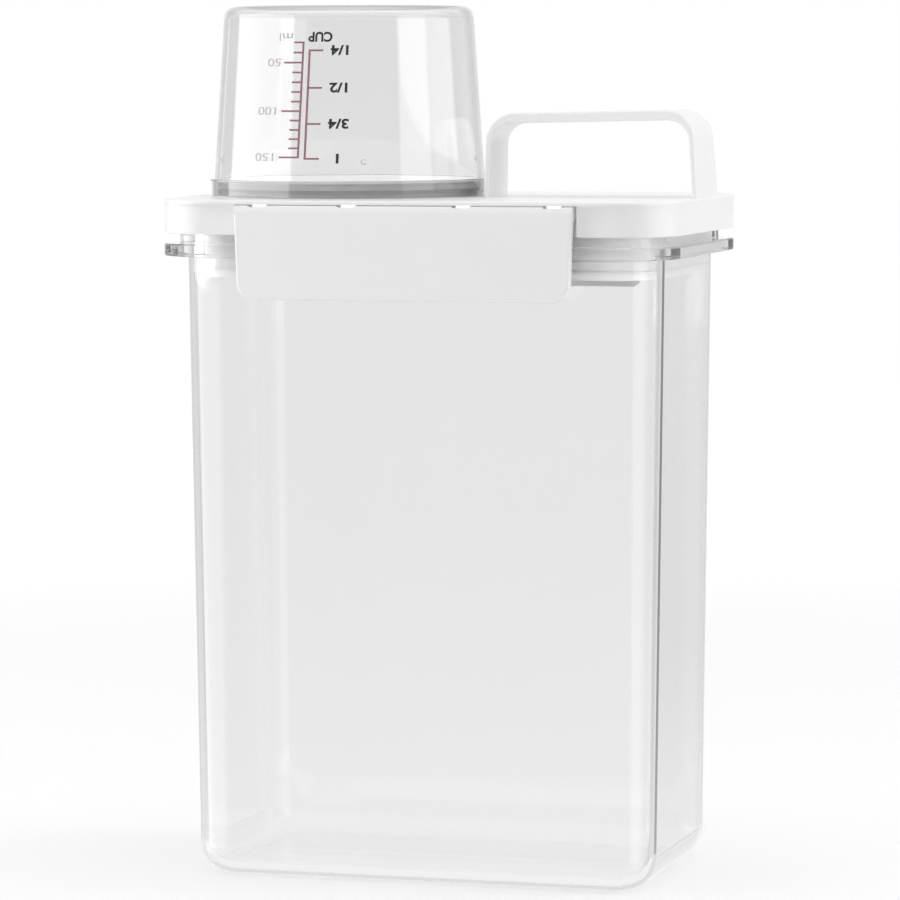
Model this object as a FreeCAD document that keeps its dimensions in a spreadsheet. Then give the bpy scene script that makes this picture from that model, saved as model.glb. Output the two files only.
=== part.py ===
"""Laundry powder container: clear drafted bin, white clip-down lid, measuring-cup closure.

Frame: millimetres, +Z up, origin at the middle of the base, front latch facing -Y.
The bin, the lid and their seals stay together; two latches swing and the cup lifts off.
"""
import FreeCAD, Part
import math
import os
import Sketcher

DOC = FreeCAD.newDocument("laundry_powder_container")

# ------------------------------------------------------------------ driving sizes
SIZES = {
    # bin: one clear moulding, drafted outwards, with a flange and a neck rim at its mouth
    "body_length": 128.8,
    "body_width": 75.8,
    "body_height": 170.2,
    "body_draft": 0.81,
    "body_corner": 11.5,
    "base_round": 8.5,
    "base_thickness": 2.6,
    "wall": 2.0,
    "flange_overhang": 5.3,
    "flange_thickness": 3.4,
    "flange_corner": 15.0,
    "flange_edge_round": 0.5,
    "neck_overhang": 1.1,
    "neck_height": 2.7,
    "neck_corner": 11.0,
    "neck_edge_round": 0.5,
    # lid: plate, skirt, seat wall that rests on the neck rim, plug that carries the seal
    "plate_thickness": 1.1,
    "plate_corner": 18.0,
    "plate_end_overhang": 0.4,
    "plate_setback": 0.2,
    "plate_edge_round": 0.6,
    "skirt_height": 8.3,
    "skirt_edge_round": 0.4,
    "skirt_wall": 1.8,
    "seat_wall": 1.6,
    "seat_setback": 0.2,
    "plug_clearance": 0.9,
    "plug_wall": 2.0,
    "plug_depth": 11.7,
    # hinge: recess in each long side, rod held by webs, barrels of the latch round the rod
    "recess_margin": 0.7,
    "cheek_wall": 1.6,
    "hinge_drop": 2.2,
    "rod_radius": 0.9,
    "web_place": 16.0,
    "web_inset": 5.9,
    "web_width": 4.0,
    "web_shoulder": 2.6,
    "web_rise": 0.4,
    "web_gap": 0.5,
    "barrel_clearance": 0.1,
    "barrel_wall": 0.9,
    "barrel_inset": 2.9,
    "barrel_mouth": 1.4,
    # latch plate and the hook that pulls under the flange
    "latch_length": 93.8,
    "latch_thickness": 2.4,
    "latch_clearance": 0.5,
    "latch_drop": 11.2,
    "latch_taper": 0.8,
    "latch_corner": 5.0,
    "latch_edge_round": 0.6,
    "latch_skin": 0.8,
    "hook_length": 60.0,
    "hook_reach": 2.3,
    "hook_gap": 0.3,
    "hook_height": 3.0,
    "hook_face": 0.8,
    # lid seal: band in the groove of the plug with two lips against the bin's wall
    "seal_height": 3.4,
    "seal_lift": 1.6,
    "seal_groove": 1.2,
    "seal_band": 1.5,
    "seal_lip": 0.7,
    "seal_clearance": 0.05,
    # spout ring and its seal, closed by the cup upside down
    "spout_place": 29.4,
    "spout_wall": 2.2,
    "spout_height": 4.8,
    "spout_edge_round": 0.4,
    "spout_fit": 1.6,
    "spout_groove": 0.9,
    "spout_seal_gap": 0.3,
    "spout_seal_height": 2.2,
    "spout_seal_lift": 1.2,
    # measuring cup
    "cup_lift_gap": 0.2,
    "cup_height": 52.0,
    "cup_wall": 1.3,
    "cup_floor": 1.8,
    "cup_base_radius": 34.3,
    "cup_mouth_radius": 37.4,
    "cup_collar_radius": 38.2,
    "cup_lip_overhang": 0.5,
    "cup_collar_height": 4.0,
    "cup_lip_height": 0.7,
    "cup_base_round": 3.0,
    "cup_edge_round": 0.25,
    "nub_radius": 0.8,
    "nub_height": 0.5,
    "nub_lift": 9.8,
    "nub_turn": 23.5,
    # handle: hoop moulded on the lid beside the cup, wider at the lid's end and drafted upwards
    "handle_start": 11.8,
    "handle_end_margin": 0.2,
    "handle_height": 23.8,
    "handle_start_lean": 0.7,
    "handle_end_lean": 1.7,
    "handle_rise": 1.1,
    "handle_narrow": 20.0,
    "handle_wide": 25.8,
    "handle_draft": 4.0,
    "handle_bar": 2.75,
    "handle_leg": 1.45,
    "handle_corner": 8.0,
    "handle_inner_corner": 6.0,
    "handle_edge_round": 0.5,
    # how far a cutting tool runs past the solid that it cuts
    "overrun": 1.0,
}

# Values worked out in the sheet from the driving sizes.
DERIVED = {
    # bin
    "slope": "tan(body_draft * 1 deg)",
    "flare": "body_height * slope",
    "base_half_x": "body_length / 2",
    "base_half_y": "body_width / 2",
    "top_half_x": "base_half_x + flare",
    "top_half_y": "base_half_y + flare",
    "flange_half_x": "top_half_x + flange_overhang",
    "flange_half_y": "top_half_y + flange_overhang",
    "flange_top_z": "body_height + flange_thickness",
    "neck_half_x": "top_half_x + neck_overhang",
    "neck_half_y": "top_half_y + neck_overhang",
    "neck_length": "flange_thickness + neck_height",
    "rim_z": "body_height + neck_length",
    "floor_half_x": "base_half_x + base_thickness * slope - wall",
    "floor_half_y": "base_half_y + base_thickness * slope - wall",
    "floor_corner": "body_corner + base_thickness * slope - wall",
    "cavity_depth": "rim_z - base_thickness",
    "floor_round": "base_round - wall",
    # lid walls and heights
    "plate_z": "rim_z + skirt_height",
    "lid_top_z": "plate_z + plate_thickness",
    "latch_inner_y": "flange_half_y + latch_clearance",
    "latch_face_y": "latch_inner_y + latch_thickness",
    "plate_half_x": "flange_half_x + plate_end_overhang",
    "plate_half_y": "latch_face_y - plate_setback",
    "skirt_inner_x": "flange_half_x - skirt_wall",
    "skirt_inner_y": "flange_half_y - skirt_wall",
    "skirt_inner_corner": "flange_corner - skirt_wall",
    "seat_half_x": "neck_half_x - seat_setback",
    "seat_half_y": "neck_half_y - seat_setback",
    "seat_inner_x": "seat_half_x - seat_wall",
    "seat_inner_y": "seat_half_y - seat_wall",
    "seat_inner_corner": "neck_corner - seat_wall",
    "plug_z": "rim_z - plug_depth",
    "plug_height": "plug_depth + skirt_height",
    "cavity_half_x": "base_half_x + plug_z * slope - wall",
    "cavity_half_y": "base_half_y + plug_z * slope - wall",
    "cavity_corner": "body_corner + plug_z * slope - wall",
    "plug_half_x": "cavity_half_x - plug_clearance",
    "plug_half_y": "cavity_half_y - plug_clearance",
    "plug_corner": "cavity_corner - plug_clearance",
    "plug_inner_x": "plug_half_x - plug_wall",
    "plug_inner_y": "plug_half_y - plug_wall",
    "plug_inner_corner": "plug_corner - plug_wall",
    # hinge
    "bore_radius": "rod_radius + barrel_clearance",
    "barrel_radius": "bore_radius + barrel_wall",
    "hinge_y": "latch_face_y - barrel_radius",
    "hinge_z": "plate_z - hinge_drop",
    "latch_half": "latch_length / 2",
    "bore_half": "latch_half - barrel_inset",
    "bore_length": "2 * bore_half",
    "recess_half": "latch_half + recess_margin",
    "recess_clear_y": "latch_face_y + overrun",
    "cheek_half": "recess_half + cheek_wall",
    "outer_web_place": "latch_half - web_inset",
    "rod_length": "2 * outer_web_place + web_width",
    "web_shoulder_y": "hinge_y - web_shoulder",
    "web_top_z": "hinge_z + web_rise",
    "web_bottom_z": "hinge_z - rod_radius",
    "notch_width": "web_width + 2 * web_gap",
    "notch_y": "latch_face_y - latch_skin",
    "notch_back_y": "hinge_y - barrel_radius - overrun",
    "notch_bottom_z": "hinge_z - barrel_radius - web_gap",
    "notch_top_z": "hinge_z + barrel_radius + overrun",
    "mouth_top_z": "hinge_z + barrel_mouth / 2",
    "mouth_bottom_z": "hinge_z - barrel_mouth / 2",
    # latch
    "latch_bottom_z": "body_height - latch_drop",
    "latch_bottom_half": "latch_half - latch_taper",
    "hook_top_z": "body_height - hook_gap",
    "hook_nose_z": "hook_top_z - hook_face",
    "hook_bottom_z": "hook_top_z - hook_height",
    "hook_y": "latch_inner_y - hook_reach",
    "hook_root_y": "latch_inner_y + latch_thickness / 2",
    # lid seal
    "groove_z": "plug_z + seal_lift",
    "groove_x": "plug_half_x - seal_groove",
    "groove_y": "plug_half_y - seal_groove",
    "groove_corner": "plug_corner - seal_groove",
    "plug_clear_x": "plug_half_x + overrun",
    "plug_clear_y": "plug_half_y + overrun",
    "plug_clear_corner": "plug_corner + overrun",
    "band_x": "groove_x + seal_band",
    "band_y": "groove_y + seal_band",
    "band_corner": "groove_corner + seal_band",
    "lip_x": "cavity_half_x - seal_clearance",
    "lip_y": "cavity_half_y - seal_clearance",
    "lip_corner": "cavity_corner - seal_clearance",
    "upper_lip_z": "groove_z + seal_height - seal_lip",
    # cup and spout
    "cup_mouth_z": "lid_top_z + cup_lift_gap",
    "cup_top_z": "cup_mouth_z + cup_height",
    "cup_lip_z": "cup_mouth_z + cup_collar_height",
    "cup_wall_z": "cup_lip_z + cup_lip_height",
    "cup_lip_radius": "cup_collar_radius + cup_lip_overhang",
    "collar_inner": "cup_collar_radius - cup_wall",
    "mouth_inner": "cup_mouth_radius - cup_wall",
    "base_inner": "cup_base_radius - cup_wall",
    "cup_floor_z": "cup_top_z - cup_floor",
    "cup_floor_round": "cup_base_round - cup_wall",
    "spout_outer": "collar_inner - spout_fit",
    "spout_bore": "spout_outer - spout_wall",
    "spout_top_z": "lid_top_z + spout_height",
    "spout_bore_depth": "spout_height + plate_thickness",
    "spout_groove_r": "spout_outer - spout_groove",
    "spout_clear_r": "spout_outer + overrun",
    "spout_seal_r": "collar_inner - spout_seal_gap",
    "spout_seal_z": "lid_top_z + spout_seal_lift",
    "spout_seal_top_z": "spout_seal_z + spout_seal_height",
    "spout_seal_nose_z": "spout_seal_z + spout_seal_height / 2",
    "nub_z": "cup_mouth_z + nub_lift",
    "inner_slope": "(mouth_inner - base_inner) / (cup_floor_z - cup_lip_z)",
    "nub_place": "mouth_inner - (nub_z - cup_lip_z) * inner_slope + nub_radius - nub_height",
    # handle
    "handle_end": "plate_half_x - handle_end_margin",
    "handle_top_z": "lid_top_z + handle_height",
    "handle_start_z": "handle_top_z - handle_rise",
    "handle_start_top": "handle_start + handle_start_lean",
    "handle_end_top": "handle_end - handle_end_lean",
    "gap_start": "handle_start + handle_leg",
    "gap_end": "handle_end - handle_leg",
    "gap_start_top": "handle_start_top + handle_leg",
    "gap_end_top": "handle_end_top - handle_leg",
    "gap_top_z": "handle_top_z - handle_bar",
    "gap_start_z": "handle_start_z - handle_bar",
    "handle_root_z": "lid_top_z - plate_thickness / 2",
    "handle_narrow_y": "handle_narrow / 2",
    "handle_wide_y": "handle_wide / 2",
    "handle_clear_start": "handle_start - overrun",
    "handle_clear_end": "handle_end + overrun",
    "handle_clear_y": "handle_wide_y + overrun",
    "handle_clear_width": "2 * handle_clear_y",
    "handle_clear_height": "handle_height + overrun",
}


# Where the webs stand along a hinge rod, seen from the front.
WEB_PLACES = ("-outer_web_place", "-web_place", "web_place", "outer_web_place")


def fill_sheet():
    """Write the driving sizes, then the derived values, to one spreadsheet."""
    sheet = DOC.addObject("Spreadsheet::Sheet", "Sizes")
    cells = {alias: str(value) for alias, value in SIZES.items()}
    cells.update({alias: "=" + formula for alias, formula in DERIVED.items()})
    for row, (alias, content) in enumerate(cells.items(), start=1):
        sheet.set(f"A{row}", alias)
        sheet.set(f"B{row}", content)
        sheet.setAlias(f"B{row}", alias)
    DOC.recompute()
    return sheet


SHEET = fill_sheet()


def number(term):
    """Value of a sheet term: an alias, an alias with a minus sign, or 0."""
    if term == "0":
        return 0.0
    sign = -1.0 if term.startswith("-") else 1.0
    return sign * float(SHEET.get(term.lstrip("-")))


def cell(term):
    """Expression of a sheet term."""
    sign = "-" if term.startswith("-") else ""
    return sign + "Sizes." + term.lstrip("-")


def point(x_term, y_term):
    return FreeCAD.Vector(number(x_term), number(y_term), 0)


def near(value, term):
    """Whether a coordinate lies at a sheet value."""
    return abs(value - number(term)) < 0.01


# ------------------------------------------------------------------ sketches
def new_body(label):
    body = DOC.addObject("PartDesign::Body", label)
    body.Label = label
    return body


def origin_feature(body, role):
    return next(item for item in body.Origin.OriginFeatures if item.Role == role)


def new_sketch(body, name, plane, lift="0", shift="0"):
    """Sketch on an origin plane, lifted along its normal and shifted along its first axis.

    A sketch on XZ looks along +Y, so its lift counts towards the front.
    """
    sketch = body.newObject("Sketcher::SketchObject", name)
    sketch.AttachmentSupport = [(origin_feature(body, plane), "")]
    sketch.MapMode = "FlatFace"
    if lift != "0":
        sketch.setExpression(".AttachmentOffset.Base.z", cell(lift))
    if shift != "0":
        sketch.setExpression(".AttachmentOffset.Base.x", cell(shift))
    return sketch


def constrain(sketch, kind, *where, term):
    """Add a dimension that follows a sheet term."""
    index = sketch.addConstraint(Sketcher.Constraint(kind, *where, number(term)))
    sketch.setExpression(f"Constraints[{index}]", cell(term))


def place_point(sketch, geometry, end, x_term, y_term):
    """Hold one point of a sketch at two sheet terms, or on an axis where a term is 0."""
    for kind, term, axis in (("DistanceX", x_term, -2), ("DistanceY", y_term, -1)):
        if term == "0":
            sketch.addConstraint(Sketcher.Constraint("PointOnObject", geometry, end, axis))
        else:
            constrain(sketch, kind, -1, 1, geometry, end, term=term)


def add_polygon(sketch, corners):
    """Closed polygon whose corners are pairs of sheet terms."""
    points = [point(*corner) for corner in corners]
    first, count = sketch.GeometryCount, len(points)
    for i in range(count):
        sketch.addGeometry(Part.LineSegment(points[i], points[(i + 1) % count]), False)
    for i in range(count):
        following = first + (i + 1) % count
        sketch.addConstraint(Sketcher.Constraint("Coincident", first + i, 2, following, 1))
    for i, corner in enumerate(corners):
        place_point(sketch, first + i, 1, *corner)


def add_circle(sketch, x_term, y_term, radius):
    """Circle whose centre and radius are sheet terms."""
    circle = Part.Circle(point(x_term, y_term), FreeCAD.Vector(0, 0, 1), number(radius))
    index = sketch.addGeometry(circle, False)
    constrain(sketch, "Radius", index, term=radius)
    place_point(sketch, index, 3, x_term, y_term)


def add_rounded_rectangle(sketch, half_x, half_y, corner):
    """Rectangle about the sketch's origin with four equal tangent corners."""
    x_half, y_half, radius = number(half_x), number(half_y), number(corner)
    x_in, y_in = x_half - radius, y_half - radius
    sides = (
        ((-x_in, -y_half), (x_in, -y_half)),
        ((x_half, -y_in), (x_half, y_in)),
        ((x_in, y_half), (-x_in, y_half)),
        ((-x_half, y_in), (-x_half, -y_in)),
    )
    centres = ((x_in, -y_in), (x_in, y_in), (-x_in, y_in), (-x_in, -y_in))
    side = sketch.GeometryCount
    arc = side + 4
    for start, end in sides:
        sketch.addGeometry(Part.LineSegment(FreeCAD.Vector(*start), FreeCAD.Vector(*end)), False)
    for i, centre in enumerate(centres):
        circle = Part.Circle(FreeCAD.Vector(*centre), FreeCAD.Vector(0, 0, 1), radius)
        start = (i - 1) * math.pi / 2
        sketch.addGeometry(Part.ArcOfCircle(circle, start, start + math.pi / 2), False)
    for i, direction in enumerate(("Horizontal", "Vertical", "Horizontal", "Vertical")):
        following = side + (i + 1) % 4
        sketch.addConstraint(Sketcher.Constraint("Tangent", side + i, 2, arc + i, 1))
        sketch.addConstraint(Sketcher.Constraint("Tangent", arc + i, 2, following, 1))
        sketch.addConstraint(Sketcher.Constraint(direction, side + i))
    for i in range(1, 4):
        sketch.addConstraint(Sketcher.Constraint("Equal", arc, arc + i))
    constrain(sketch, "Radius", arc, term=corner)
    constrain(sketch, "DistanceX", -1, 1, side + 1, 1, term=half_x)
    constrain(sketch, "DistanceX", side + 3, 1, -1, 1, term=half_x)
    constrain(sketch, "DistanceY", -1, 1, side + 2, 1, term=half_y)
    constrain(sketch, "DistanceY", side, 1, -1, 1, term=half_y)


# ------------------------------------------------------------------ features
def check_change(feature, before, grows):
    """Stop if a feature added or removed nothing."""
    after = feature.Shape.Volume
    if (after <= before) if grows else (after >= before):
        raise RuntimeError(f"{feature.Name} changed nothing: {before:.2f} to {after:.2f}")


def volume_of(body):
    return 0.0 if body.Shape.isNull() else body.Shape.Volume


def extrude(body, kind, sketch, length, middle=False, back=False, taper="0"):
    """Pad or Pocket of a sketch by a sheet length."""
    before = volume_of(body)
    feature = body.newObject("PartDesign::" + kind, sketch.Name + kind)
    feature.Profile = sketch
    feature.Type = "Length"
    feature.SideType = "Symmetric" if middle else "One side"
    feature.Reversed = back
    feature.setExpression("Length", cell(length))
    if taper != "0":
        feature.setExpression("TaperAngle", cell(taper))
    DOC.recompute()
    check_change(feature, before, kind == "Pad")
    return feature


def revolve(body, kind, sketch):
    """Revolution or Groove of a sketch about its own upright axis."""
    before = volume_of(body)
    feature = body.newObject("PartDesign::" + kind, sketch.Name + kind)
    feature.Profile = sketch
    feature.ReferenceAxis = (sketch, ["V_Axis"])
    feature.Angle = 360.0
    DOC.recompute()
    check_change(feature, before, kind == "Revolution")
    return feature


def mirror(body, name, features, plane):
    """Mirror features about an origin plane of their body."""
    feature = body.newObject("PartDesign::Mirrored", name)
    feature.Originals = features
    feature.MirrorPlane = (origin_feature(body, plane), [""])
    body.Tip = feature
    DOC.recompute()
    return feature


def fillet(body, name, base, radius, test):
    """Round the edges of a feature whose middle points pass a test."""
    names = []
    for i, edge in enumerate(base.Shape.Edges):
        if test(edge.valueAt((edge.FirstParameter + edge.LastParameter) / 2)):
            names.append(f"Edge{i + 1}")
    feature = body.newObject("PartDesign::Fillet", name)
    feature.Base = (base, names)
    feature.setExpression("Radius", cell(radius))
    DOC.recompute()
    return feature


def rounded_block(body, name, kind, half_x, half_y, corner, bottom, height, **options):
    """Pad or Pocket of a rounded rectangle that starts at a height above the base."""
    sketch = new_sketch(body, name, "XY_Plane", lift=bottom)
    add_rounded_rectangle(sketch, half_x, half_y, corner)
    return extrude(body, kind, sketch, height, **options)


def upright_box(left, right, bottom, top):
    """Corners of a rectangle between four sheet terms."""
    return ((left, bottom), (right, bottom), (right, top), (left, top))


# ------------------------------------------------------------------ bin
def build_container():
    """Drafted walls, rounded base, flange and neck rim."""
    body = new_body("container")
    rounded_block(body, "Outside", "Pad", "base_half_x", "base_half_y", "body_corner",
                  "0", "body_height", taper="body_draft")
    flange = rounded_block(body, "Flange", "Pad", "flange_half_x", "flange_half_y",
                           "flange_corner", "body_height", "flange_thickness")
    fillet(body, "FlangeRound", flange, "flange_edge_round", on_flange_edge)
    neck = rounded_block(body, "Neck", "Pad", "neck_half_x", "neck_half_y", "neck_corner",
                         "body_height", "neck_length")
    fillet(body, "NeckRound", neck, "neck_edge_round", lambda place: near(place.z, "rim_z"))
    cavity = rounded_block(body, "Cavity", "Pocket", "floor_half_x", "floor_half_y",
                           "floor_corner", "base_thickness", "cavity_depth",
                           back=True, taper="body_draft")
    floor = fillet(body, "FloorRound", cavity, "floor_round",
                   lambda place: near(place.z, "base_thickness"))
    fillet(body, "BaseRound", floor, "base_round", lambda place: near(place.z, "0"))


def on_flange_edge(place):
    """Whether a point lies on the outer edge of the flange, above or below."""
    outside = (abs(place.x) > number("top_half_x") + number("flange_edge_round")
               or abs(place.y) > number("top_half_y") + number("flange_edge_round"))
    return outside and (near(place.z, "body_height") or near(place.z, "flange_top_z"))


# ------------------------------------------------------------------ lid
def build_lid():
    """Plate, skirt, seat, plug, hinge rods, spout ring and handle, moulded as one."""
    body = new_body("lid")
    skirt = rounded_block(body, "Skirt", "Pad", "flange_half_x", "flange_half_y",
                          "flange_corner", "rim_z", "skirt_height")
    fillet(body, "SkirtRound", skirt, "skirt_edge_round", lambda place: near(place.z, "rim_z"))
    rounded_block(body, "SkirtInside", "Pocket", "skirt_inner_x", "skirt_inner_y",
                  "skirt_inner_corner", "rim_z", "skirt_height", back=True)
    plate = rounded_block(body, "Plate", "Pad", "plate_half_x", "plate_half_y", "plate_corner",
                          "plate_z", "plate_thickness")
    fillet(body, "PlateRound", plate, "plate_edge_round", lambda place: near(place.z, "lid_top_z"))
    rounded_block(body, "Seat", "Pad", "seat_half_x", "seat_half_y", "neck_corner",
                  "rim_z", "skirt_height")
    rounded_block(body, "SeatInside", "Pocket", "seat_inner_x", "seat_inner_y",
                  "seat_inner_corner", "rim_z", "skirt_height", back=True)
    rounded_block(body, "Plug", "Pad", "plug_half_x", "plug_half_y", "plug_corner",
                  "plug_z", "plug_height")
    rounded_block(body, "PlugInside", "Pocket", "plug_inner_x", "plug_inner_y",
                  "plug_inner_corner", "plug_z", "plug_height", back=True)
    add_seal_groove(body)
    add_hinges(body)
    add_spout(body)
    add_handle(body)


def add_seal_groove(body):
    """Groove round the outside of the plug."""
    ring = new_sketch(body, "SealGroove", "XY_Plane", lift="groove_z")
    add_rounded_rectangle(ring, "plug_clear_x", "plug_clear_y", "plug_clear_corner")
    add_rounded_rectangle(ring, "groove_x", "groove_y", "groove_corner")
    extrude(body, "Pocket", ring, "seal_height", back=True)


def add_hinges(body):
    """On each long side: a recess in the skirt, cheeks that close it, a rod held by four webs."""
    recess = new_sketch(body, "Recess", "XY_Plane", lift="rim_z")
    add_polygon(recess, upright_box("-recess_half", "recess_half", "-recess_clear_y", "-seat_half_y"))
    recess = extrude(body, "Pocket", recess, "skirt_height", back=True)
    mirror(body, "RecessPair", [recess], "XZ_Plane")
    cheeks = new_sketch(body, "Cheeks", "XY_Plane", lift="rim_z")
    add_polygon(cheeks, upright_box("-cheek_half", "-recess_half", "-skirt_inner_y", "-seat_inner_y"))
    add_polygon(cheeks, upright_box("recess_half", "cheek_half", "-skirt_inner_y", "-seat_inner_y"))
    parts = [extrude(body, "Pad", cheeks, "skirt_height")]
    rod = new_sketch(body, "HingeRod", "YZ_Plane")
    add_circle(rod, "-hinge_y", "hinge_z", "rod_radius")
    parts.append(extrude(body, "Pad", rod, "rod_length", middle=True))
    for i, place in enumerate(WEB_PLACES):
        web = new_sketch(body, f"HingeWeb{i}", "YZ_Plane", lift=place)
        add_polygon(web, (
            ("-seat_inner_y", "plate_z"),
            ("-seat_inner_y", "web_bottom_z"),
            ("-hinge_y", "web_bottom_z"),
            ("-hinge_y", "web_top_z"),
            ("-web_shoulder_y", "web_top_z"),
            ("-web_shoulder_y", "plate_z"),
        ))
        parts.append(extrude(body, "Pad", web, "web_width", middle=True))
    mirror(body, "HingePair", parts, "XZ_Plane")


def add_spout(body):
    """Ring round the pouring hole, with a groove for its seal."""
    ring = new_sketch(body, "SpoutRing", "XY_Plane", lift="lid_top_z")
    add_circle(ring, "-spout_place", "0", "spout_outer")
    ring = extrude(body, "Pad", ring, "spout_height")
    fillet(body, "SpoutRound", ring, "spout_edge_round", lambda place: near(place.z, "spout_top_z"))
    bore = new_sketch(body, "SpoutBore", "XY_Plane", lift="plate_z")
    add_circle(bore, "-spout_place", "0", "spout_bore")
    extrude(body, "Pocket", bore, "spout_bore_depth", back=True)
    groove = new_sketch(body, "SpoutGroove", "XZ_Plane", shift="-spout_place")
    add_polygon(groove, upright_box("spout_groove_r", "spout_clear_r", "spout_seal_z",
                                    "spout_seal_top_z"))
    revolve(body, "Groove", groove)


def add_handle(body):
    """Hoop of two leaning legs and a bar, wider at the lid's end, drafted towards the top."""
    hoop = new_sketch(body, "Hoop", "XZ_Plane")
    add_polygon(hoop, (
        ("handle_start", "handle_root_z"),
        ("handle_end", "handle_root_z"),
        ("handle_end_top", "handle_top_z"),
        ("handle_start_top", "handle_start_z"),
    ))
    extrude(body, "Pad", hoop, "handle_wide", middle=True)
    gap = new_sketch(body, "HoopGap", "XZ_Plane")
    add_polygon(gap, (
        ("gap_start", "lid_top_z"),
        ("gap_end", "lid_top_z"),
        ("gap_end_top", "gap_top_z"),
        ("gap_start_top", "gap_start_z"),
    ))
    gap = extrude(body, "Pocket", gap, "handle_clear_width", middle=True)
    inner = fillet(body, "HoopInnerCorner", gap, "handle_inner_corner",
                   lambda place: near(place.z, "gap_top_z") and near(place.x, "gap_end_top")
                   or near(place.z, "gap_start_z") and near(place.x, "gap_start_top"))
    fillet(body, "HoopCorner", inner, "handle_corner",
           lambda place: near(place.z, "handle_top_z") and near(place.x, "handle_end_top")
           or near(place.z, "handle_start_z") and near(place.x, "handle_start_top"))
    side = new_sketch(body, "HoopSide", "XY_Plane", lift="lid_top_z")
    add_polygon(side, (
        ("handle_clear_start", "-handle_narrow_y"),
        ("handle_clear_start", "-handle_clear_y"),
        ("handle_clear_end", "-handle_clear_y"),
        ("handle_clear_end", "-handle_wide_y"),
    ))
    side = extrude(body, "Pocket", side, "handle_clear_height", back=True, taper="handle_draft")
    sides = mirror(body, "HoopSides", [side], "XZ_Plane")
    fillet(body, "HoopEdge", sides, "handle_edge_round", on_hoop_side)


def on_hoop_side(place):
    """Whether a point lies on the outline of one of the hoop's two sides, above the plate."""
    beside = place.x > number("handle_start") - number("handle_edge_round")
    above = place.z > number("lid_top_z") + number("handle_edge_round")
    return beside and above and abs(place.y) > number("handle_leg")


# ------------------------------------------------------------------ latches
def build_latch(label, turn):
    """Flap with a barrel that clips round the lid's rod and a hook for the flange."""
    body = new_body(label)
    flap = new_sketch(body, "Flap", "XZ_Plane", lift="latch_inner_y")
    add_polygon(flap, (
        ("-latch_half", "hinge_z"),
        ("-latch_bottom_half", "latch_bottom_z"),
        ("latch_bottom_half", "latch_bottom_z"),
        ("latch_half", "hinge_z"),
    ))
    flap = extrude(body, "Pad", flap, "latch_thickness")
    flap = fillet(body, "FlapCorner", flap, "latch_corner",
                  lambda place: near(place.z, "latch_bottom_z")
                  and near(abs(place.x), "latch_bottom_half"))
    fillet(body, "FlapEdge", flap, "latch_edge_round", on_flap_front)
    barrel = new_sketch(body, "Barrel", "YZ_Plane")
    add_circle(barrel, "-hinge_y", "hinge_z", "barrel_radius")
    extrude(body, "Pad", barrel, "latch_length", middle=True)
    hook = new_sketch(body, "Hook", "YZ_Plane")
    add_polygon(hook, (
        ("-hook_root_y", "hook_top_z"),
        ("-hook_y", "hook_top_z"),
        ("-hook_y", "hook_nose_z"),
        ("-latch_inner_y", "hook_bottom_z"),
        ("-hook_root_y", "hook_bottom_z"),
    ))
    extrude(body, "Pad", hook, "hook_length", middle=True)
    for i, place in enumerate(WEB_PLACES):
        notch = new_sketch(body, f"Notch{i}", "YZ_Plane", lift=place)
        add_polygon(notch, upright_box("-notch_y", "-notch_back_y", "notch_bottom_z", "notch_top_z"))
        extrude(body, "Pocket", notch, "notch_width", middle=True)
    bore = new_sketch(body, "Bore", "YZ_Plane")
    add_circle(bore, "-hinge_y", "hinge_z", "bore_radius")
    extrude(body, "Pocket", bore, "bore_length", middle=True)
    mouth = new_sketch(body, "Mouth", "YZ_Plane")
    add_polygon(mouth, upright_box("-hinge_y", "-notch_back_y", "mouth_bottom_z", "mouth_top_z"))
    extrude(body, "Pocket", mouth, "bore_length", middle=True)
    body.Placement = FreeCAD.Placement(FreeCAD.Vector(), FreeCAD.Rotation(FreeCAD.Vector(0, 0, 1), turn))


def on_flap_front(place):
    """Whether a point lies on the outline of the flap's front face, its hinge edge left out."""
    return near(-place.y, "latch_face_y") and place.z < number("hinge_z") - number("latch_edge_round")


# ------------------------------------------------------------------ cup
def build_cup():
    """Cup turned about its own axis, mouth down, with four nubs inside its mouth."""
    body = new_body("measuring_cup")
    profile = new_sketch(body, "Profile", "XZ_Plane")
    add_polygon(profile, (
        ("collar_inner", "cup_mouth_z"),
        ("cup_collar_radius", "cup_mouth_z"),
        ("cup_collar_radius", "cup_lip_z"),
        ("cup_lip_radius", "cup_lip_z"),
        ("cup_lip_radius", "cup_wall_z"),
        ("cup_mouth_radius", "cup_wall_z"),
        ("cup_base_radius", "cup_top_z"),
        ("0", "cup_top_z"),
        ("0", "cup_floor_z"),
        ("base_inner", "cup_floor_z"),
        ("mouth_inner", "cup_lip_z"),
        ("collar_inner", "cup_lip_z"),
    ))
    turned = revolve(body, "Revolution", profile)
    turned = fillet(body, "BaseRound", turned, "cup_base_round",
                    lambda place: near(place.z, "cup_top_z"))
    turned = fillet(body, "FloorRound", turned, "cup_floor_round",
                    lambda place: near(place.z, "cup_floor_z"))
    fillet(body, "RimEdges", turned, "cup_edge_round", on_cup_rim)
    nub = body.newObject("PartDesign::AdditiveSphere", "Nub")
    nub.setExpression("Radius", cell("nub_radius"))
    nub.setExpression(".Placement.Base.x", cell("nub_place"))
    nub.setExpression(".Placement.Base.z", cell("nub_z"))
    DOC.recompute()
    nubs = body.newObject("PartDesign::PolarPattern", "Nubs")
    nubs.Originals = [nub]
    nubs.Axis = (origin_feature(body, "Z_Axis"), [""])
    nubs.Angle = 360.0
    nubs.Occurrences = 4
    body.Tip = nubs
    body.Placement.Rotation = FreeCAD.Rotation(FreeCAD.Vector(0, 0, 1), number("nub_turn"))
    body.setExpression(".Placement.Base.x", cell("-spout_place"))
    DOC.recompute()


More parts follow.
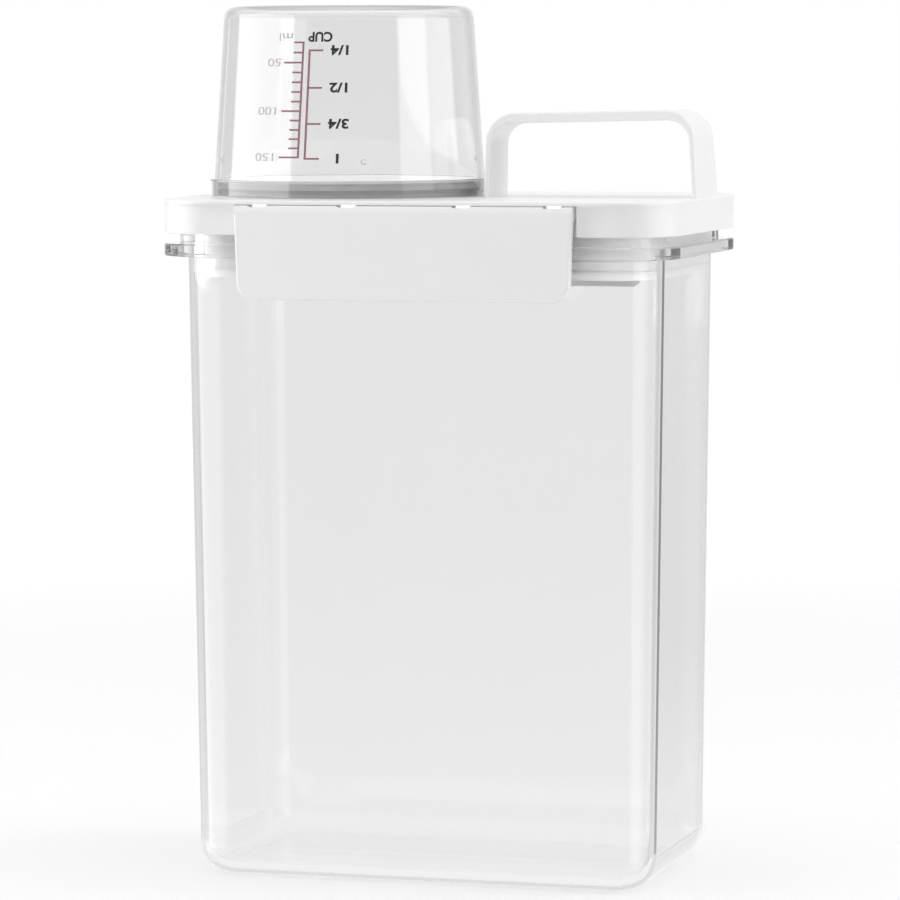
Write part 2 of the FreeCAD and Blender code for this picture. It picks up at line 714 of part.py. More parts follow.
def on_cup_rim(place):
    """Whether a point lies on the cup's mouth edge or on one of the two edges of its lip."""
    reach = math.hypot(place.x, place.y)
    return (near(reach, "cup_collar_radius") and near(place.z, "cup_mouth_z")
            or near(reach, "cup_lip_radius"))


# ------------------------------------------------------------------ seals
def build_lid_seal():
    """Band in the plug's groove with two lips against the bin's wall."""
    body = new_body("lid_seal")
    rounded_block(body, "Band", "Pad", "band_x", "band_y", "band_corner", "groove_z", "seal_height")
    for name, level in (("LowerLip", "groove_z"), ("UpperLip", "upper_lip_z")):
        rounded_block(body, name, "Pad", "lip_x", "lip_y", "lip_corner", level, "seal_lip")
    rounded_block(body, "SealInside", "Pocket", "groove_x", "groove_y", "groove_corner",
                  "groove_z", "seal_height", back=True)


def build_spout_seal():
    """Ring round the spout whose nose faces the inside of the cup's collar."""
    body = new_body("spout_seal")
    profile = new_sketch(body, "Ring", "XZ_Plane", shift="-spout_place")
    add_polygon(profile, (
        ("spout_groove_r", "spout_seal_z"),
        ("spout_outer", "spout_seal_z"),
        ("spout_seal_r", "spout_seal_nose_z"),
        ("spout_outer", "spout_seal_top_z"),
        ("spout_groove_r", "spout_seal_top_z"),
    ))
    revolve(body, "Revolution", profile)


# ------------------------------------------------------------------ output
def check_document():
    """Stop if any object failed or any body has no sound solid."""
    for item in DOC.Objects:
        if "Invalid" in item.State or "Error" in item.State:
            raise RuntimeError(f"{item.Name} is {item.State}")
    for body in bodies():
        if body.Shape.isNull() or not body.Shape.isValid():
            raise RuntimeError(f"{body.Label} has no sound shape")


def bodies():
    return [item for item in DOC.Objects if item.TypeId == "PartDesign::Body"]


def main():
    build_container()
    build_lid()
    build_lid_seal()
    build_spout_seal()
    build_latch("front_latch", 0)
    build_latch("back_latch", 180)
    build_cup()
    DOC.recompute()
    check_document()
    os.makedirs("parts", exist_ok=True)
    for body in bodies():
        body.Shape.exportStep(f"parts/{body.Label}.step")
        print(f"{body.Label}: {len(body.Shape.Solids)} solid, {body.Shape.Volume / 1000:.1f} cm3")


main()
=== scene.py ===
"""Looks for the laundry powder container: clear bin and cup, white lid and latches, printed scale."""
import logging
import math
from dataclasses import dataclass, field
from enum import Enum
from typing import Any, Sequence

import bmesh
import bpy
from mathutils import Matrix, Vector


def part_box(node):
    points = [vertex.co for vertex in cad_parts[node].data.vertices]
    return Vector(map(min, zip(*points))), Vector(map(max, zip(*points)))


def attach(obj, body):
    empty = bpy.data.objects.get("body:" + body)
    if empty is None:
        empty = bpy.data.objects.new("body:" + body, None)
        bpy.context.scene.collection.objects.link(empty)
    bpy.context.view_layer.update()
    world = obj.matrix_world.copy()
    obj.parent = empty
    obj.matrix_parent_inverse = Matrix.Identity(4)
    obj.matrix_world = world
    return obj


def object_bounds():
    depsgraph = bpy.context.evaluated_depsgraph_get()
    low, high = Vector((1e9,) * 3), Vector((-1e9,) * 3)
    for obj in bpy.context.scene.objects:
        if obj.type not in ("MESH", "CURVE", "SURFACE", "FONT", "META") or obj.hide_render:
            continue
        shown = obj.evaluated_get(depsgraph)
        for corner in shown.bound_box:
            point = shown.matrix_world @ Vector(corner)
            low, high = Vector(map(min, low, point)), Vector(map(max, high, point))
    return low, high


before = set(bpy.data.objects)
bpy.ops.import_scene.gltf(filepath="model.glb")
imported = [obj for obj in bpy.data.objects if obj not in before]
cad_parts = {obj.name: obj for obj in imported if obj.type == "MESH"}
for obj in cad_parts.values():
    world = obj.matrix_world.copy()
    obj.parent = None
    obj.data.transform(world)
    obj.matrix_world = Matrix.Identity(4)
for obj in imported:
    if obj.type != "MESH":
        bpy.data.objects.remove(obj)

CAD_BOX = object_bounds()
LOG = logging.getLogger("container")

Colour = tuple[float, float, float]
Point = tuple[float, float, float]
Flat = tuple[float, float]

ONCE = 0.5  # a count of bounces above this is at least one


# ------------------------------------------------------------------ shader graph
class Axis(Enum):
    """Directions of the part's frame."""

    RIGHT = (1.0, 0.0, 0.0)
    BACK = (0.0, 1.0, 0.0)
    UP = (0.0, 0.0, 1.0)


class Ray(Enum):
    """What a shader can ask about the ray that reaches it."""

    CAMERA = "Is Camera Ray"
    GLOSSY = "Is Glossy Ray"
    TRANSMISSION = "Is Transmission Ray"
    BOUNCES = "Ray Depth"
    MIRRORINGS = "Glossy Depth"
    SCATTERINGS = "Diffuse Depth"


class Socket:
    """A shader socket with arithmetic: an expression on sockets adds its Math nodes."""

    def __init__(self, graph: "Graph", link: bpy.types.NodeSocket | None) -> None:
        """Wraps one output socket of a graph."""
        self.graph = graph
        self.link = link

    def _math(self, operation: str, *values: "Socket | float") -> "Socket":
        """Adds one Math node.

        Args:
            operation: the node's operation, such as MULTIPLY.
            values: its inputs in order.

        Returns:
            The node's output.
        """
        return self.graph.add("ShaderNodeMath", {"operation": operation}, dict(enumerate(values)))

    def __add__(self, other: "Socket | float") -> "Socket":
        """Sum."""
        return self._math("ADD", self, other)

    __radd__ = __add__

    def __sub__(self, other: "Socket | float") -> "Socket":
        """Difference."""
        return self._math("SUBTRACT", self, other)

    def __rsub__(self, other: float) -> "Socket":
        """Difference from a number."""
        return self._math("SUBTRACT", other, self)

    def __mul__(self, other: "Socket | float") -> "Socket":
        """Product."""
        return self._math("MULTIPLY", self, other)

    __rmul__ = __mul__

    def __gt__(self, other: "Socket | float") -> "Socket":
        """1 where greater, 0 elsewhere."""
        return self._math("GREATER_THAN", self, other)

    def __or__(self, other: "Socket | float") -> "Socket":
        """The greater of two values: either of two conditions."""
        return self._math("MAXIMUM", self, other)

    def ramp(self, low: "Socket | float", high: "Socket | float") -> "Socket":
        """Smooth rise from 0 at one value to 1 at another."""
        return self.graph.add("ShaderNodeMapRange", {"interpolation_type": "SMOOTHSTEP"},
                              {"Value": self, "From Min": low, "From Max": high})


class Graph:
    """Node tree of one material or world."""

    def __init__(self, tree: bpy.types.NodeTree) -> None:
        """Empties the tree so that every node in it comes from add()."""
        tree.nodes.clear()
        self.tree = tree

    def add(self, kind: str, settings: dict[str, Any] | None = None,
            inputs: dict[str | int, Any] | None = None, output: str | int = 0) -> Socket:
        """Adds one node.

        Args:
            kind: the node's type.
            settings: attributes, set first.
            inputs: values or sockets, by input name or index.
            output: the output that is returned.

        Returns:
            The chosen output.
        """
        node = self.tree.nodes.new(kind)
        for name, value in (settings or {}).items():
            setattr(node, name, value)
        for name, value in (inputs or {}).items():
            socket = node.inputs[name]
            if isinstance(value, Socket):
                self.tree.links.new(value.link, socket)
            else:
                socket.default_value = value
        return Socket(self, node.outputs[output] if len(node.outputs) else None)

    def noise(self, scale: float, detail: float = 2.0) -> Socket:
        """Adds noise that stays on the piece as it moves.

        Args:
            scale: features per metre.
            detail: how many finer layers are added.

        Returns:
            Values about the middle of 0 to 1.
        """
        place = self.add("ShaderNodeTexCoord", output="Object")
        return self.add("ShaderNodeTexNoise", None,
                        {"Vector": place, "Scale": scale, "Detail": detail})

    def bump(self, height: Socket, distance: float) -> Socket:
        """Normal from a height of 0 to 1 that stands for a distance in metres."""
        return self.add("ShaderNodeBump", None, {"Height": height, "Distance": distance})

    def blend(self, low: "Colour | Socket", high: "Colour | Socket", factor: Socket) -> Socket:
        """Mixes two colours.

        Args:
            low: the colour where the factor is 0.
            high: the colour where the factor is 1.
            factor: how much of the second colour shows.

        Returns:
            The mixed colour.
        """
        ends = [end if isinstance(end, Socket) else (*end, 1.0) for end in (low, high)]
        return self.add("ShaderNodeMix", {"data_type": "RGBA"},
                        {0: factor, 6: ends[0], 7: ends[1]}, output=2)

    def ray(self, kind: Ray) -> Socket:
        """What the light path says of the ray: 1 or 0 for a kind, or a count."""
        return self.add("ShaderNodeLightPath", output=kind.value)

    def along(self, direction: Point, output: str = "Object") -> Socket:
        """Measures how far the shaded point lies in a direction.

        Args:
            direction: a unit vector.
            output: the texture coordinates that are measured.

        Returns:
            The distance from their origin.
        """
        place = self.add("ShaderNodeTexCoord", output=output)
        return self.add("ShaderNodeVectorMath", {"operation": "DOT_PRODUCT"},
                        {0: place, 1: direction}, output="Value")

    def finish(self, surface: Socket, volume: Socket | None = None) -> None:
        """Adds the material output.

        Args:
            surface: the surface shader.
            volume: the shader of the inside, where there is one.
        """
        outputs = {"Surface": surface}
        if volume:
            outputs["Volume"] = volume
        self.add("ShaderNodeOutputMaterial", None, outputs)


def new_material(name: str) -> tuple[bpy.types.Material, Graph]:
    """Makes an empty node material.

    Args:
        name: the material's name.

    Returns:
        The material and its graph.
    """
    material = bpy.data.materials.new(name)
    material.use_nodes = True
    return material, Graph(material.node_tree)


# ------------------------------------------------------------------ finishes
@dataclass(frozen=True)
class ClearPlastic:
    """Polished clear moulding; below lip_level its colour is darkened with painted shade.

    The flow of the melt leaves slow waves in its surface. Light that is trapped between its
    faces leaves straight out in the end, as it does through a real rim.
    """

    name: str
    tint: Colour = (0.95, 0.95, 0.95)
    tint_low: Colour = (0.94, 0.94, 0.94)
    absorption: float = 9.0
    roughness: float = 0.03
    ior: float = 1.49
    wave_scale: float = 28.0
    wave_depth: float = 0.00002
    most_mirrorings: float = 2.5
    most_bounces: float = 8.5
    exit_tint: Colour = (0.8, 0.8, 0.8)
    # painted shade: the darker colour of the cup's lip band, below lip_level
    lip_painted_shade: Colour = (0.95, 0.95, 0.95)
    lip_level: float = 0.0

    def material(self) -> bpy.types.Material:
        """Builds the material.

        Returns:
            The finished material.
        """
        material, graph = new_material(self.name)
        waves = graph.noise(self.wave_scale, detail=1.0)
        above_lip = graph.along(Axis.UP.value) > self.lip_level
        wall_tint = graph.blend(self.tint_low, self.tint, waves)
        surface = graph.add("ShaderNodeBsdfPrincipled", None, {
            # below lip_level the colour is painted shade, darkening the band at the lip
            "Base Color": graph.blend(self.lip_painted_shade, wall_tint, above_lip),
            "Roughness": self.roughness,
            "IOR": self.ior,
            "Transmission Weight": 1.0,
            "Normal": graph.bump(waves, self.wave_depth),
        })
        volume = graph.add("ShaderNodeVolumeAbsorption", None, {
            "Color": (0.0, 0.0, 0.0, 1.0),
            "Density": self.absorption,
        })
        trapped = (graph.ray(Ray.MIRRORINGS) > self.most_mirrorings) | (
            graph.ray(Ray.BOUNCES) > self.most_bounces)
        exit_straight = graph.add("ShaderNodeBsdfTransparent", None, {"Color": (*self.exit_tint, 1.0)})
        graph.finish(graph.add("ShaderNodeMixShader", None,
                               {0: trapped, 1: surface, 2: exit_straight}), volume)
        return material


@dataclass(frozen=True)
class WhitePlastic:
    """Opaque white moulding with a fine spark-eroded texture and a painted glow in its hinge recesses.
    """

    name: str
    colour: Colour = (0.9, 0.9, 0.9)
    shade: Colour = (0.88, 0.88, 0.88)
    roughness: float = 0.34
    roughness_swing: float = 0.08
    ior: float = 1.5
    grain_scale: float = 2600.0
    grain_depth: float = 0.000006
    cloud_scale: float = 60.0
    # painted light: strength of the glow painted into the hinge recesses
    painted_recess_glow: float = 0.35
    recess_half: float = 0.0472
    recess_sides: Flat = (0.0435, 0.048)
    recess_levels: Flat = (0.1805, 0.18462)

    def material(self) -> bpy.types.Material:
        """Builds the material.

        Returns:
            The finished material.
        """
        material, graph = new_material(self.name)
        grain = graph.noise(self.grain_scale, detail=3.0)
        surface = graph.add("ShaderNodeBsdfPrincipled", None, {
            "Base Color": graph.blend(self.shade, self.colour, graph.noise(self.cloud_scale)),
            "Roughness": self.roughness + self.roughness_swing * (grain - 0.5),
            "IOR": self.ior,
            # painted light: the recesses glow to lighten the shade in the hinge slits
            "Emission Color": self.painted_recess_glow * self._painted_glow_mask(graph),
            "Emission Strength": 1.0,
            "Normal": graph.bump(grain, self.grain_depth),
        })
        graph.finish(surface)
        material.cycles.emission_sampling = "NONE"
        return material

    def _painted_glow_mask(self, graph: Graph) -> Socket:
        """Marks the hinge recesses, where the emission paints a glow that lightens the shade in the
        slits.

        Args:
            graph: the material's graph.

        Returns:
            1 inside them, 0 elsewhere.
        """
        across, deep, level = (graph.along(axis.value) for axis in Axis)
        width, side = across | (0.0 - across), deep | (0.0 - deep)
        return ((1.0 - (width > self.recess_half))
                * (side > self.recess_sides[0]) * (1.0 - (side > self.recess_sides[1]))
                * (level > self.recess_levels[0]) * (1.0 - (level > self.recess_levels[1])))


@dataclass(frozen=True)
class Silicone:
    """Soft, milky seal."""

    name: str
    colour: Colour = (0.88, 0.88, 0.88)
    shade: Colour = (0.84, 0.84, 0.84)
    roughness: float = 0.5
    ior: float = 1.41
    grain_scale: float = 900.0
    grain_depth: float = 0.00001

    def material(self) -> bpy.types.Material:
        """Builds the material.

        Returns:
            The finished material.
        """
        material, graph = new_material(self.name)
        grain = graph.noise(self.grain_scale)
        surface = graph.add("ShaderNodeBsdfPrincipled", None, {
            "Base Color": graph.blend(self.shade, self.colour, grain),
            "Roughness": self.roughness,
            "IOR": self.ior,
            "Normal": graph.bump(grain, self.grain_depth),
        })
        graph.finish(surface)
        return material


@dataclass(frozen=True)
class Ink:
    """Screen-printed ink, a little uneven where the mesh laid it down."""

    name: str
    colour: Colour
    thin: Colour
    fleck_scale: float = 1800.0
    roughness: float = 0.45
    roughness_swing: float = 0.1
    ior: float = 1.5

    def material(self) -> bpy.types.Material:
        """Builds the material.

        Returns:
            The finished material.
        """
        material, graph = new_material(self.name)
        flecks = graph.noise(self.fleck_scale)
        surface = graph.add("ShaderNodeBsdfPrincipled", None, {
            "Base Color": graph.blend(self.colour, self.thin, flecks),
            "Roughness": self.roughness + self.roughness_swing * flecks,
            "IOR": self.ior,
        })
        graph.finish(surface)
        return material


# ------------------------------------------------------------------ sub-assemblies
def dress(node: str, material: bpy.types.Material, lets_light_by: bool = False) -> None:
    """Gives a carried-over CAD node its finish.

    Args:
        node: the node's name.
        material: its finish.
        lets_light_by: whether lamps shine through it without a shadow.
    """
    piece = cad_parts[node]
    piece.data.materials.clear()
    piece.data.materials.append(material)
    piece.visible_shadow = not lets_light_by
    LOG.info("node %s: %s", node, material.name)


@dataclass
class Bin:
    """Clear powder bin."""

    finish: ClearPlastic = ClearPlastic("clear_bin_plastic")

    def build(self) -> None:
        """Dresses the bin."""
        dress("container", self.finish.material(), lets_light_by=True)


@dataclass
class Lid:
    """White lid with the seals that it carries."""

    finish: WhitePlastic = WhitePlastic("white_lid_plastic")
    seal_finish: Silicone = Silicone("milky_silicone")

    def build(self) -> None:
        """Dresses the lid and its seals."""
        dress("lid", self.finish.material())
        silicone = self.seal_finish.material()
        for node in ("lid_seal", "spout_seal"):
            dress(node, silicone)


@dataclass
class Latches:
    """The two white flaps that pull the lid down."""

    # the flaps get no painted glow in their recesses
    finish: WhitePlastic = WhitePlastic("white_latch_plastic", painted_recess_glow=0.0)

    def build(self) -> None:
        """Dresses both flaps."""
        white = self.finish.material()
        for node in ("front_latch", "back_latch"):
            dress(node, white)


class Side(Enum):
    """The two scales of the cup, by the side of the gap between them when the cup stands upright."""

    CUPS = -1
    MILLILITRES = 1


@dataclass
class CupWall:
    """Outside and inside of the cup's tapered wall, measured from its base."""

    axis: Flat
    base_level: float
    base_radius: float = 0.0343
    mouth_radius: float = 0.0374
    cone_height: float = 0.0473
    wall: float = 0.0007
    floor: float = 0.0017

    def level(self, volume: float) -> float:
        """Finds how high a measure of powder fills the cup.

        Args:
            volume: the powder's volume in cubic metres.

        Returns:
            Its height above the base's outside in metres.
        """
        slope = (self.mouth_radius - self.base_radius) / self.cone_height
        inner = self.base_radius - self.wall
        reach = (3.0 * slope * volume / math.pi + inner ** 3) ** (1.0 / 3.0)
        return self.floor + (reach - inner) / slope

    def place(self, along: float, height: float, turn: float, lift: float) -> Vector:
        """Point on the wall of the upside-down cup.

        Args:
            along: distance to the right of the scale's middle, cup upright.
            height: distance above the cup's base, cup upright.
            turn: where the scale's middle lies round the cup, from the front.
            lift: distance off the wall.

        Returns:
            The point in the part's frame.
        """
        share = height / self.cone_height
        radius = self.base_radius + (self.mouth_radius - self.base_radius) * share
        angle = turn - along / ((self.base_radius + self.mouth_radius) / 2)
        reach = radius + lift
        return Vector((self.axis[0] + reach * math.sin(angle), self.axis[1] - reach * math.cos(angle),
                       self.base_level - height))


@dataclass
class PrintedScale:
    """Measuring scale on the cup's wall: cups on the left, millilitres on the right.

    Lengths are in metres and volumes in cubic metres, with the cup upright.
    """

    wall: CupWall
    turn: float = math.radians(-1.5)
    lean: float = 0.035
    lean_from: float = 0.0125
    lift: float = 0.00003
    film: float = 0.00003
    segment: float = 0.0006
    # lines and ticks
    half_gap: float = 0.00095
    line_width: float = 0.0006
    tick_width: float = 0.0005
    cup_tick: float = 0.0039
    short_tick: float = 0.0029
    long_tick: float = 0.0057
    line_ink: Ink = Ink("maroon_ink", (0.26, 0.12, 0.145), (0.34, 0.18, 0.205))
    # cups
    full_cup: float = 0.0001515
    cup_marks: Sequence[tuple[str, float]] = (("1/4", 0.25), ("1/2", 0.5), ("3/4", 0.75), ("1", 1.0))
    cup_digits: float = 0.0025
    cup_column: float = -0.0097
    cup_unit_share: float = 0.4
    cup_stretch: float = 1.25
    cup_weight: float = 0.035
    cup_ink: Ink = Ink("black_ink", (0.008, 0.008, 0.008), (0.02, 0.02, 0.02))
    # millilitres
    step: float = 0.00001
    step_millilitres: int = 10
    first_step: int = 3
    last_step: int = 15
    long_every: int = 5
    ml_digits: float = 0.0022
    ml_column: float = 0.0073
    ml_unit_share: float = 0.55
    ml_stretch: float = 1.55
    ml_ink: Ink = Ink("pale_ink", (0.44, 0.39, 0.4), (0.54, 0.5, 0.51))
    # both units
    unit_level: float = 0.0086
    digit_share: float = 0.71

    def build(self) -> None:
        """Prints the lines, the cup words and the millilitre words."""
        self._print("cup_scale_lines", self.line_ink, self._lines())
        self._print("cup_scale_cups", self.cup_ink, self._cup_words())
        self._print("cup_scale_millilitres", self.ml_ink, self._ml_words())

    def _bar(self, left: float, right: float, low: float, high: float) -> bmesh.types.BMesh:
        """Lays out a flat rectangle, cut into short segments so that it can bend round the cup.

        Args:
            left: its left side, along the scale.
            right: its right side.
            low: its lower side, above the cup's base.
            high: its upper side.

        Returns:
            The flat mesh.
        """
        bar = bmesh.new()
        across = max(1, math.ceil((right - left) / self.segment))
        upward = max(1, math.ceil((high - low) / self.segment))
        rows = []
        for j in range(upward + 1):
            height = low + (high - low) * j / upward
            rows.append([bar.verts.new((left + (right - left) * i / across, height, 0.0))
                         for i in range(across + 1)])
        for lower, upper in zip(rows, rows[1:]):
            for i in range(across):
                bar.faces.new((lower[i], lower[i + 1], upper[i + 1], upper[i]))
        return bar

    def _tick(self, side: Side, volume: float, length: float) -> bmesh.types.BMesh:
        """Lays out a tick that leaves its line outwards.

        Args:
            side: the line that it belongs to.
            volume: the volume that it marks.
            length: how far it reaches from the line.

        Returns:
            The flat mesh.
        """
        start = side.value * self.half_gap
        end = start + side.value * length
        level = self.wall.level(volume)
        half = self.tick_width / 2
        return self._bar(min(start, end), max(start, end), level - half, level + half)

    def _line(self, side: Side, low: float, high: float) -> bmesh.types.BMesh:
        """Lays out an upright line.

        Args:
            side: the line of the two.
            low: the volume at its lower end.
            high: the volume at its upper end.

        Returns:
            The flat mesh.
        """
        middle = side.value * self.half_gap
        half = self.line_width / 2
        end = self.tick_width / 2
        return self._bar(middle - half, middle + half,
                         self.wall.level(low) - end, self.wall.level(high) + end)

    def _lines(self) -> list[bmesh.types.BMesh]:
        """Lays out both upright lines and all their ticks.

        Returns:
            The flat meshes.
        """
        shares = [share for _, share in self.cup_marks]
        shapes = [self._line(Side.CUPS, self.full_cup * shares[0], self.full_cup * shares[-1]),
                  self._line(Side.MILLILITRES, self.first_step * self.step, self.last_step * self.step)]
        for share in shares:
            shapes.append(self._tick(Side.CUPS, self.full_cup * share, self.cup_tick))
        for count in range(self.first_step, self.last_step + 1):
            length = self.short_tick if count % self.long_every else self.long_tick
            shapes.append(self._tick(Side.MILLILITRES, self.step * count, length))
        return shapes

    def _cup_words(self) -> list[bmesh.types.BMesh]:
        """Lays out the quarter marks and their unit.

        Returns:
            The flat meshes.
        """
        shapes = [self._word(text, self.cup_column, self.wall.level(self.full_cup * share),
                             self.cup_digits, self.cup_stretch, self.cup_weight, centred=True)
                  for text, share in self.cup_marks]
        shapes.append(self._word("CUP", self.cup_column * self.cup_unit_share, self.unit_level,
                                 self.cup_digits, 1.0, self.cup_weight, centred=True))
        return shapes

    def _ml_words(self) -> list[bmesh.types.BMesh]:
        """Lays out the numbers at the long ticks and their unit.

        Returns:
            The flat meshes.
        """
        shapes = [self._word(str(self.step_millilitres * count), self.ml_column,
                             self.wall.level(self.step * count), self.ml_digits, self.ml_stretch)
                  for count in range(self.long_every, self.last_step + 1, self.long_every)]
        shapes.append(self._word("ml", self.ml_column * self.ml_unit_share, self.unit_level,
                                 self.ml_digits, self.ml_stretch))
        return shapes

    def _word(self, text: str, along: float, level: float, height: float, stretch: float,
              weight: float = 0.0, centred: bool = False) -> bmesh.types.BMesh:
        """Lays out lettering, its middle height at a level.

        Args:
            text: the characters.
            along: where it starts, or its middle where it is centred.
            level: height of its middle above the cup's base.
            height: height of a digit.
            stretch: how wide the letters are, as a share of their usual width.
            weight: how much the strokes are thickened, as a share of the letter size.
            centred: whether along is its middle.

        Returns:
            The flat mesh.
        """
        letters = bpy.data.curves.new("letters", "FONT")
        letters.body = text
        letters.offset = weight
        letters.align_x = "CENTER" if centred else "LEFT"
        holder = bpy.data.objects.new("letters", letters)
        bpy.context.scene.collection.objects.link(holder)
        bpy.context.view_layer.update()
        drawn = holder.evaluated_get(bpy.context.evaluated_depsgraph_get())
        mesh = bpy.data.meshes.new_from_object(drawn)
        shape = bmesh.new()
        shape.from_mesh(mesh)
        bpy.data.meshes.remove(mesh)
        bpy.data.objects.remove(holder)
        bpy.data.curves.remove(letters)
        scale = height / self.digit_share
        for vertex in shape.verts:
            right, up = vertex.co.xy
            vertex.co = Vector((along + right * scale * stretch,
                                level + (up - self.digit_share / 2) * scale, 0.0))
        return shape

    def _print(self, name: str, ink: Ink, shapes: Sequence[bmesh.types.BMesh]) -> None:
        """Wraps flat shapes round the cup as one film of ink.

        Args:
            name: the piece's name.
            ink: its finish.
            shapes: flat meshes in the scale's own plane.
        """
        mesh = bpy.data.meshes.new(name)
        film = bmesh.new()
        for shape in shapes:
            part = bpy.data.meshes.new("part")
            shape.to_mesh(part)
            shape.free()
            film.from_mesh(part)
            bpy.data.meshes.remove(part)
        for vertex in film.verts:
            along, height = vertex.co.xy
            along += self.lean * (height - self.lean_from)
            vertex.co = self.wall.place(along, height, self.turn, self.lift)
        bmesh.ops.recalc_face_normals(film, faces=film.faces)
        film.to_mesh(mesh)
        film.free()
        mesh.materials.append(ink.material())
        piece = bpy.data.objects.new(name, mesh)
        bpy.context.scene.collection.objects.link(piece)
        thick = piece.modifiers.new("film", "SOLIDIFY")
        thick.thickness = self.film
        thick.offset = 1.0
        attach(piece, "cup")
        LOG.info("piece %s: %d faces", name, len(mesh.polygons))


@dataclass
class Cup:
    """Clear measuring cup, upside down over the spout, with its printed scale."""

    finish: ClearPlastic = ClearPlastic("clear_cup_plastic", tint=(0.9, 0.9, 0.9),
                                        tint_low=(0.89, 0.89, 0.89),
                                        # the lip band below lip_level is painted shade
                                        lip_painted_shade=(0.55, 0.55, 0.55), lip_level=0.1903,
                                        absorption=4.0)

    def build(self) -> None:
        """Dresses the cup and prints its scale."""
        dress("measuring_cup", self.finish.material(), lets_light_by=True)
        low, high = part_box("measuring_cup")
        middle = (low + high) / 2
        PrintedScale(CupWall((middle.x, middle.y), high.z)).build()


# ------------------------------------------------------------------ studio
class Role(Enum):
    """Whether a lamp lights the part or is only mirrored by it."""

    LIGHTS = "lights"
    IS_MIRRORED = "is mirrored"


@dataclass
class Softbox:
    """Soft lamp round the part's axis.

    Its azimuth counts from the front, and a pitch of 90 degrees looks straight down.
    """

    name: str
    role: Role
    azimuth: float
    reach: float
    level: float
    pitch: float
    width: float
    height: float
    radiance: float

    def build(self) -> None:
        """Hangs the lamp."""
        lamp = bpy.data.lights.new(self.name, "AREA")
        lamp.shape = "RECTANGLE"
        lamp.size = self.width
        lamp.size_y = self.height
        lamp.energy = self.radiance * math.pi * self.width * self.height
        holder = bpy.data.objects.new(self.name, lamp)
        bpy.context.scene.collection.objects.link(holder)
        azimuth = math.radians(self.azimuth)
        holder.location = (self.reach * math.sin(azimuth), -self.reach * math.cos(azimuth), self.level)
        holder.rotation_euler = (math.radians(90.0 - self.pitch), 0.0, azimuth)
        holder.visible_diffuse = self.role is Role.LIGHTS
        holder.visible_glossy = holder.visible_transmission = self.role is Role.IS_MIRRORED
        if self.role is Role.IS_MIRRORED:
            self._hide_from_straight_sight(lamp)
        LOG.info("lamp %s", self.name)

    def _hide_from_straight_sight(self, lamp: bpy.types.AreaLight) -> None:
        """Lets the lamp show only where a face has mirrored it, not straight through clear walls.

        Args:
            lamp: the lamp's data.
        """
        lamp.use_nodes = True
        graph = Graph(lamp.node_tree)
        glow = graph.add("ShaderNodeEmission", None, {
            "Color": (1.0, 1.0, 1.0, 1.0),
            "Strength": graph.ray(Ray.MIRRORINGS) > ONCE,
        })
        graph.add("ShaderNodeOutputLight", None, {"Surface": glow})


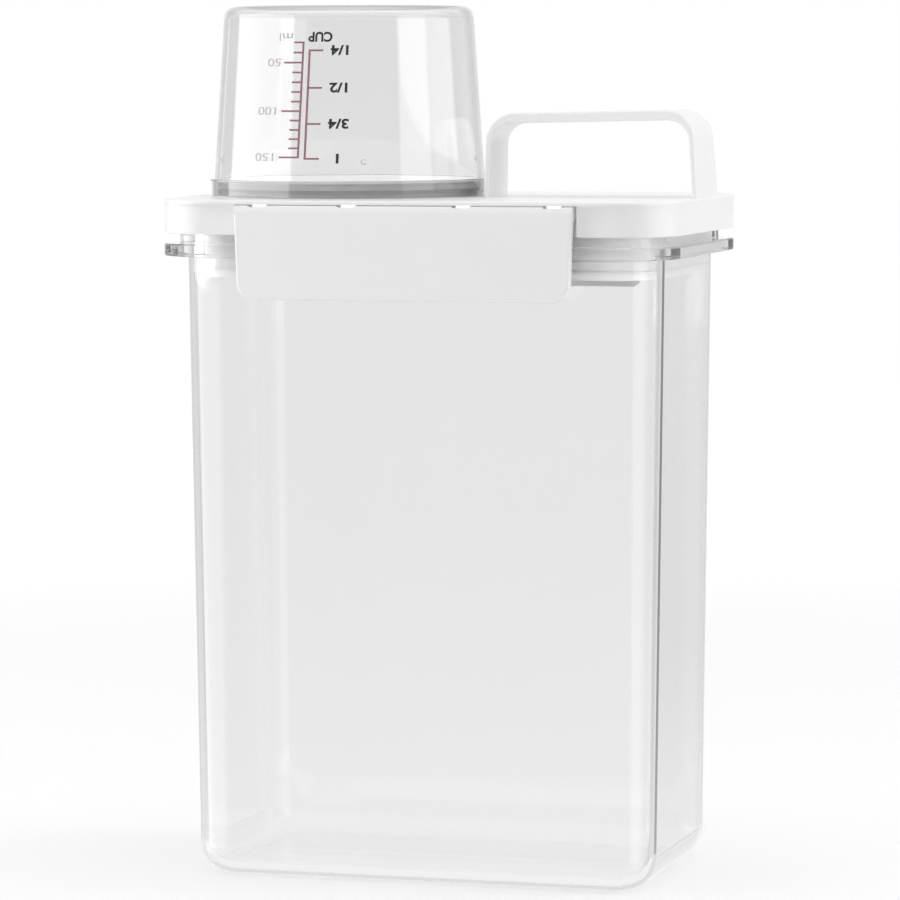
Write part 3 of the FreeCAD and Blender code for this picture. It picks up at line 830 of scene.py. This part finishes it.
@dataclass
class Studio:
    """White surroundings, floor, softboxes and camera.

    Plastic sees the surroundings white behind the part and greyer in front of it, as in a light
    tent that is open towards the camera.
    """

    # camera
    azimuth: float = 16.45
    elevation: float = 4.82
    distance: float = 1.287
    lens: float = 186.1
    film_width: float = 36.0
    sight: float = 20.0
    roll: float = -0.2
    aim_side: float = -0.00075
    aim_height: float = 0.1155
    # surroundings, each pair the sines of the angles where white begins and is full
    surroundings: float = 0.74
    inside_light: float = 2.0
    front_reflection: float = 0.35
    back_white: Flat = (0.35, 0.95)
    back_white_mirrored: Flat = (0.8, 1.0)
    low_white: Flat = (0.09, 0.22)
    high_white: Flat = (0.2, 0.7)
    # floor
    floor_size: float = 12.0
    paper: float = 0.8
    near_glow: float = 0.15
    far_glow: float = 0.42
    far_from: float = 1.1
    lamps: Sequence[Softbox] = field(default_factory=lambda: (
        Softbox("left_card", Role.IS_MIRRORED, -68.0, 0.6, 0.275, 0.0, 0.78, 0.3, 2.9),
        Softbox("left_low_card", Role.IS_MIRRORED, -68.0, 0.6, -0.0875, 0.0, 0.78, 0.425, 0.9),
        Softbox("right_card", Role.IS_MIRRORED, 75.0, 0.6, 0.275, 0.0, 0.33, 0.3, 1.35),
        Softbox("right_low_card", Role.IS_MIRRORED, 75.0, 0.6, -0.0875, 0.0, 0.33, 0.425, 0.9),
        Softbox("left_softbox", Role.LIGHTS, -68.0, 1.0, 0.45, 0.0, 0.6, 0.8, 2.7),
        Softbox("right_softbox", Role.LIGHTS, 100.0, 1.0, 0.45, 0.0, 0.6, 0.8, 2.45),
        Softbox("top_softbox", Role.LIGHTS, 0.0, 0.0, 1.4, 90.0, 0.9, 0.9, 1.15),
    ))

    def build(self) -> None:
        """Makes the whole studio."""
        self._make_world()
        self._make_floor()
        for lamp in self.lamps:
            lamp.build()
        self._make_camera()
        bpy.context.scene.view_settings.view_transform = "Standard"

    def _backwards(self) -> Point:
        """Level direction towards the back of the set."""
        azimuth = math.radians(self.azimuth)
        return (-math.sin(azimuth), math.cos(azimuth), 0.0)

    def _make_world(self) -> None:
        """White surroundings where they are seen, softer light on the part."""
        world = bpy.data.worlds.new("studio")
        bpy.context.scene.world = world
        world.use_nodes = True
        graph = Graph(world.node_tree)
        mirrored = 1.0 - graph.ray(Ray.TRANSMISSION)
        start, full = (seen + (reflected - seen) * mirrored
                       for seen, reflected in zip(self.back_white, self.back_white_mirrored))
        upwards = graph.along(Axis.UP.value, "Generated")
        bright = (graph.along(self._backwards(), "Generated").ramp(start, full)
                  | (0.0 - upwards).ramp(*self.low_white)
                  | upwards.ramp(*self.high_white))
        in_plastic = self.front_reflection + (1.0 - self.front_reflection) * bright
        scattered = graph.ray(Ray.SCATTERINGS) > ONCE
        glossy = in_plastic + (self.inside_light - in_plastic) * scattered
        strength = (self.surroundings + (1.0 - self.surroundings) * graph.ray(Ray.CAMERA)
                    + (glossy - self.surroundings) * graph.ray(Ray.GLOSSY))
        background = graph.add("ShaderNodeBackground", None,
                               {"Color": (1.0, 1.0, 1.0, 1.0), "Strength": strength})
        graph.add("ShaderNodeOutputWorld", None, {"Surface": background})

    def _make_floor(self) -> None:
        """Pale floor that shows white and keeps the part's shadow; in plastic the world stands in."""
        mesh = bpy.data.meshes.new("floor")
        half = self.floor_size / 2
        low = CAD_BOX[0].z
        corners = [(-half, -half, low), (half, -half, low), (half, half, low), (-half, half, low)]
        mesh.from_pydata(corners, [], [(0, 1, 2, 3)])
        floor = bpy.data.objects.new("floor", mesh)
        bpy.context.scene.collection.objects.link(floor)
        material, graph = new_material("floor_paper")
        shade = graph.add("ShaderNodeBsdfDiffuse", None, {"Color": (*[self.paper] * 3, 1.0)})
        across, deep = (graph.along(axis.value) for axis in (Axis.RIGHT, Axis.BACK))
        far = (across * across + deep * deep).ramp(0.0, self.far_from ** 2)
        glow = graph.add("ShaderNodeEmission", None, {
            "Color": self.near_glow + (self.far_glow - self.near_glow) * far,
            "Strength": graph.ray(Ray.CAMERA),
        })
        graph.finish(graph.add("ShaderNodeAddShader", None, {0: shade, 1: glow}))
        mesh.materials.append(material)
        floor.visible_glossy = floor.visible_transmission = False

    def _make_camera(self) -> None:
        """Long-lens camera a little above the lid's level."""
        azimuth, elevation = math.radians(self.azimuth), math.radians(self.elevation)
        back = Vector((math.sin(azimuth) * math.cos(elevation),
                       -math.cos(azimuth) * math.cos(elevation), math.sin(elevation)))
        right = Vector((math.cos(azimuth), math.sin(azimuth), 0.0))
        up = back.cross(right)
        aim = right * self.aim_side + Vector((0.0, 0.0, self.aim_height))
        turn = Matrix((right, up, back)).transposed() @ Matrix.Rotation(math.radians(self.roll), 3, "Z")
        data = bpy.data.cameras.new("camera")
        data.lens = self.lens
        data.sensor_width = self.film_width
        data.clip_end = self.sight
        camera = bpy.data.objects.new("camera", data)
        bpy.context.scene.collection.objects.link(camera)
        camera.matrix_world = Matrix.Translation(aim + back * self.distance) @ turn.to_4x4()
        bpy.context.scene.camera = camera


def main() -> None:
    """Dresses the part piece by piece and builds the studio."""
    logging.basicConfig(level=logging.INFO)
    for assembly in (Bin(), Lid(), Latches(), Cup(), Studio()):
        LOG.info("building %s", type(assembly).__name__)
        assembly.build()


if __name__ == "__main__":
    main()
